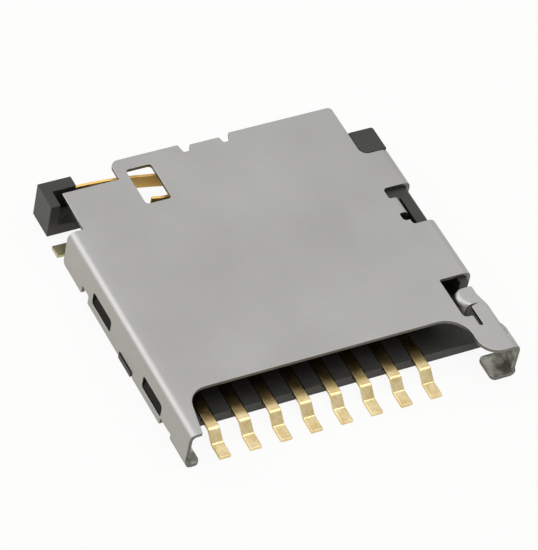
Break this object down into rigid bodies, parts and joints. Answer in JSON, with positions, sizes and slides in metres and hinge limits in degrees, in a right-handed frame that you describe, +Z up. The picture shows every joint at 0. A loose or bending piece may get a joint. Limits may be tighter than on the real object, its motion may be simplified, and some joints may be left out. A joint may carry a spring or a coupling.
{
  "type": "sd card socket",
  "caption": "Push-pull socket for a micro size memory card: folded steel cover over a black moulded base, gold contact tails along the mouth, card switch at the rear corner.",
  "frame": {"origin": "centre of the overall footprint, on the board plane that the tails, the legs and the feet of the base rest on", "axes": "+X to the right when looking into the mouth, +Y the way the card goes in, +Z up off the board"},
  "size_m": [0.0122, 0.012, 0.0014],
  "materials": {
    "cover_steel": "satin",
    "base_plastic": "matte",
    "contact_gold": "bright gold plating",
    "switch_gold": "thin gold plating"
  },
  "bodies": {
    "root": {"cover": "cover_steel", "base": "base_plastic", "contact_1": "contact_gold", "contact_2": "contact_gold", "contact_3": "contact_gold", "contact_4": "contact_gold", "contact_5": "contact_gold", "contact_6": "contact_gold", "contact_7": "contact_gold", "contact_8": "contact_gold", "switch_leaf": "switch_gold", "switch_fixed_contact": "switch_gold"}
  },
  "joints": []
}
